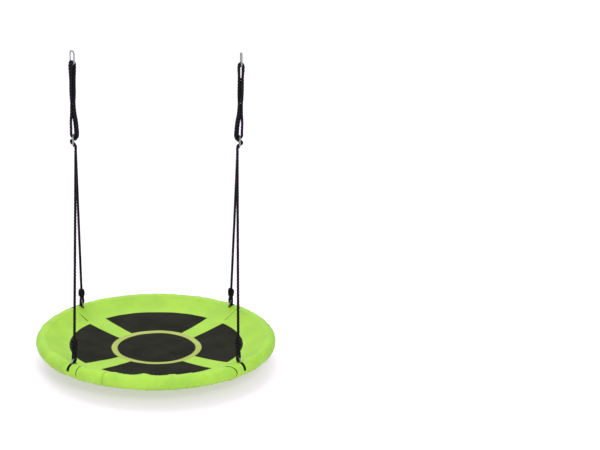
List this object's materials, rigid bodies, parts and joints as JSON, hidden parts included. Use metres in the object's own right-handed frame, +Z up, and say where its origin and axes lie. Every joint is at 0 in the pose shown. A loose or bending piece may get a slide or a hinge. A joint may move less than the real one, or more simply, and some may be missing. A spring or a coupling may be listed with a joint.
{
  "type": "nest swing",
  "caption": "Round nest swing: padded steel ring with a dished fabric seat, hung on doubled ropes with steel adjuster rings and snap hooks.",
  "frame": {"origin": "middle of the hang line, level with the points where the beam's two hooks bear on the snap hooks", "axes": "+X along the hang line, +Z up, the seat hangs at negative Z"},
  "size_m": [1, 1, 1.2712],
  "materials": {
    "steel": "zinc-plated bent wire",
    "frame_steel": "galvanised steel tube and screws",
    "foam": "closed-cell foam sleeve, matt",
    "green_fabric": "coated woven polyester, low sheen",
    "dark_fabric": "coated woven polyester, low sheen",
    "rope": "three-strand laid rope, slight sheen"
  },
  "bodies": {
    "hangers": {"left_hook": "steel", "left_gate_pin": "steel", "left_front_bight": "rope", "left_rear_bight": "rope", "right_hook": "steel", "right_gate_pin": "steel", "right_front_bight": "rope", "right_rear_bight": "rope"},
    "left_gate": {"left_gate": "steel"},
    "right_gate": {"right_gate": "steel"},
    "suspension": {"left_inner_front_strand": "rope", "left_inner_rear_strand": "rope", "left_outer_front_strand": "rope", "left_outer_rear_strand": "rope", "right_inner_front_strand": "rope", "right_inner_rear_strand": "rope", "right_outer_front_strand": "rope", "right_outer_rear_strand": "rope"},
    "adjusters": {"left_adjuster_ring": "steel", "left_ring_bight": "rope", "left_front_hitch": "rope", "left_rear_hitch": "rope", "right_adjuster_ring": "steel", "right_ring_bight": "rope", "right_front_hitch": "rope", "right_rear_hitch": "rope"},
    "left_ropes": {"front_left_rope": "rope", "front_left_knot": "rope", "rear_left_rope": "rope", "rear_left_knot": "rope"},
    "right_ropes": {"front_right_rope": "rope", "front_right_knot": "rope", "rear_right_rope": "rope", "rear_right_knot": "rope"},
    "seat": {"seat_panel": "green_fabric", "centre_patch": "dark_fabric", "front_left_tube": "frame_steel", "front_left_foam": "foam", "front_left_lug": "steel", "front_right_tube": "frame_steel", "front_right_foam": "foam", "front_right_lug": "steel", "rear_left_tube": "frame_steel", "rear_left_foam": "foam", "rear_left_lug": "steel", "rear_right_tube": "frame_steel", "rear_right_foam": "foam", "rear_right_lug": "steel", "front_cover": "green_fabric", "front_patch": "dark_fabric", "front_tube_screw": "frame_steel", "rear_cover": "green_fabric", "rear_patch": "dark_fabric", "rear_tube_screw": "frame_steel", "left_cover": "green_fabric", "left_patch": "dark_fabric", "left_tube_screw": "frame_steel", "right_cover": "green_fabric", "right_patch": "dark_fabric", "right_tube_screw": "frame_steel"}
  },
  "joints": [
    {"name": "left_gate_hinge", "type": "hinge", "parent": "hangers", "child": "left_gate", "pos_m": [-0.34324, 0.01167, -0.03645], "axis": [0.8192, 0.5736, 0], "range_deg": [0, 25], "stiffness_Nm_per_rad": 0.05, "springref_deg": -57.3},
    {"name": "right_gate_hinge", "type": "hinge", "parent": "hangers", "child": "right_gate", "pos_m": [0.33308, 0.01411, -0.03645], "axis": [0.9903, 0.1392, 0], "range_deg": [0, 25], "stiffness_Nm_per_rad": 0.05, "springref_deg": -57.3},
    {"name": "swing", "type": "hinge", "parent": "hangers", "child": "suspension", "pos_m": [0, 0, -0.064], "axis": [1, 0, 0], "range_deg": [-35, 35]},
    {"name": "seat_pitch", "type": "hinge", "parent": "suspension", "child": "adjusters", "pos_m": [0, 0, -0.318], "axis": [1, 0, 0], "range_deg": [-12, 12]},
    {"name": "sway_left", "type": "hinge", "parent": "adjusters", "child": "left_ropes", "pos_m": [-0.32656, 0, -0.4075], "axis": [0, 1, 0], "range_deg": [-12, 12]},
    {"name": "sway_right", "type": "hinge", "parent": "adjusters", "child": "right_ropes", "pos_m": [0.32656, 0, -0.4075], "axis": [0, 1, 0], "range_deg": [-12, 12]},
    {"name": "seat_level", "type": "hinge", "parent": "left_ropes", "child": "seat", "pos_m": [-0.32656, 0, -1.1771], "axis": [0, 1, 0], "range_deg": [-12, 12]}
  ],
  "couplings": [
    {"joint": "sway_right", "follows": "sway_left", "ratio": 1},
    {"joint": "seat_level", "follows": "sway_left", "ratio": -1}
  ]
}
